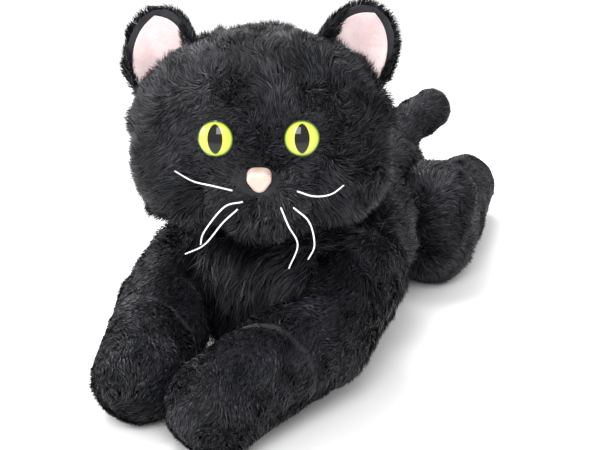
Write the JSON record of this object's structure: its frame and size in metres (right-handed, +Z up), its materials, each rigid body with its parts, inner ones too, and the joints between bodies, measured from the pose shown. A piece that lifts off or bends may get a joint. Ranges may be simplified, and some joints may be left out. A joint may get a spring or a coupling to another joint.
{
  "type": "plush cat",
  "caption": "Lying black plush cat with turning head, folding ears and soft legs and tail that lift and swing.",
  "frame": {"origin": "middle of the flat belly seam area, on the floor under the middle of the torso", "axes": "+X to the cat's left, -Y to the front where the chest faces, +Z up"},
  "size_m": [0.2631, 0.641, 0.3563],
  "materials": {
    "fur_black": "matte",
    "velour_pink": "matte",
    "eye_plastic": "gloss",
    "nose_plastic": "satin",
    "filling": "matte",
    "thread": "matte",
    "whisker_filament": "satin",
    "washer_plastic": "matte"
  },
  "bodies": {
    "torso": {"belly_panel": "fur_black", "chest_panel": "fur_black", "back_panel_left": "fur_black", "back_panel_right": "fur_black", "torso_filling": "filling"},
    "neck": {"neck_collar": "fur_black"},
    "head": {"chin_panel": "fur_black", "eye_left": "eye_plastic", "eye_right": "eye_plastic", "eye_washer_left": "washer_plastic", "eye_washer_right": "washer_plastic", "head_filling": "filling", "head_gusset": "fur_black", "head_side_left": "fur_black", "head_side_right": "fur_black", "mouth_thread": "thread", "muzzle_left": "fur_black", "muzzle_right": "fur_black", "nose": "nose_plastic", "nose_washer": "washer_plastic", "whisker_left_inner": "whisker_filament", "whisker_left_outer": "whisker_filament", "whisker_left_upper": "whisker_filament", "whisker_right_inner": "whisker_filament", "whisker_right_outer": "whisker_filament", "whisker_right_upper": "whisker_filament"},
    "ear_left": {"ear_back_left": "fur_black", "ear_lining_left": "velour_pink"},
    "foreleg_left": {"foreleg_sleeve_left": "fur_black", "forepaw_outer_left": "fur_black", "forepaw_inner_left": "fur_black", "forepaw_sole_left": "fur_black", "foreleg_filling_left": "filling"},
    "hind_leg_left": {"haunch_cover_left": "fur_black", "hind_foot_left": "fur_black", "hind_sole_left": "fur_black", "hind_filling_left": "filling"},
    "ear_right": {"ear_back_right": "fur_black", "ear_lining_right": "velour_pink"},
    "foreleg_right": {"foreleg_sleeve_right": "fur_black", "forepaw_outer_right": "fur_black", "forepaw_inner_right": "fur_black", "forepaw_sole_right": "fur_black", "foreleg_filling_right": "filling"},
    "hind_leg_right": {"haunch_cover_right": "fur_black", "hind_foot_right": "fur_black", "hind_sole_right": "fur_black", "hind_filling_right": "filling"},
    "tail": {"tail_cover": "fur_black", "tail_filling": "filling"}
  },
  "joints": [
    {"name": "neck_turn", "type": "hinge", "parent": "torso", "child": "neck", "pos_m": [0, -0.115, 0.232], "axis": [0, 0, 1], "range_deg": [-30, 20]},
    {"name": "neck_nod", "type": "hinge", "parent": "neck", "child": "head", "pos_m": [0, -0.115, 0.232], "axis": [0.8988, 0.4384, 0], "range_deg": [-12, 8]},
    {"name": "ear_left_fold", "type": "hinge", "parent": "head", "child": "ear_left", "pos_m": [0.06409, -0.05707, 0.29507], "axis": [0.7506, 0.2999, -0.5888], "range_deg": [-15, 10]},
    {"name": "ear_right_fold", "type": "hinge", "parent": "head", "child": "ear_right", "pos_m": [-0.09357, -0.13531, 0.29022], "axis": [0.8434, 0.2562, 0.4723], "range_deg": [-15, 10]},
    {"name": "foreleg_left_lift", "type": "hinge", "parent": "torso", "child": "foreleg_left", "pos_m": [0.072, -0.078, 0.092], "axis": [-1, 0, 0], "range_deg": [0, 18]},
    {"name": "foreleg_right_lift", "type": "hinge", "parent": "torso", "child": "foreleg_right", "pos_m": [-0.072, -0.078, 0.092], "axis": [-1, 0, 0], "range_deg": [0, 18]},
    {"name": "hind_leg_left_lift", "type": "hinge", "parent": "torso", "child": "hind_leg_left", "pos_m": [0.076, 0.14, 0.064], "axis": [1, 0, 0], "range_deg": [0, 18]},
    {"name": "hind_leg_right_lift", "type": "hinge", "parent": "torso", "child": "hind_leg_right", "pos_m": [-0.076, 0.14, 0.064], "axis": [1, 0, 0], "range_deg": [0, 18]},
    {"name": "tail_turn", "type": "hinge", "parent": "torso", "child": "tail", "pos_m": [0, 0.199, 0.116], "axis": [0, 0.8486, 0.529], "range_deg": [-40, 40]}
  ]
}
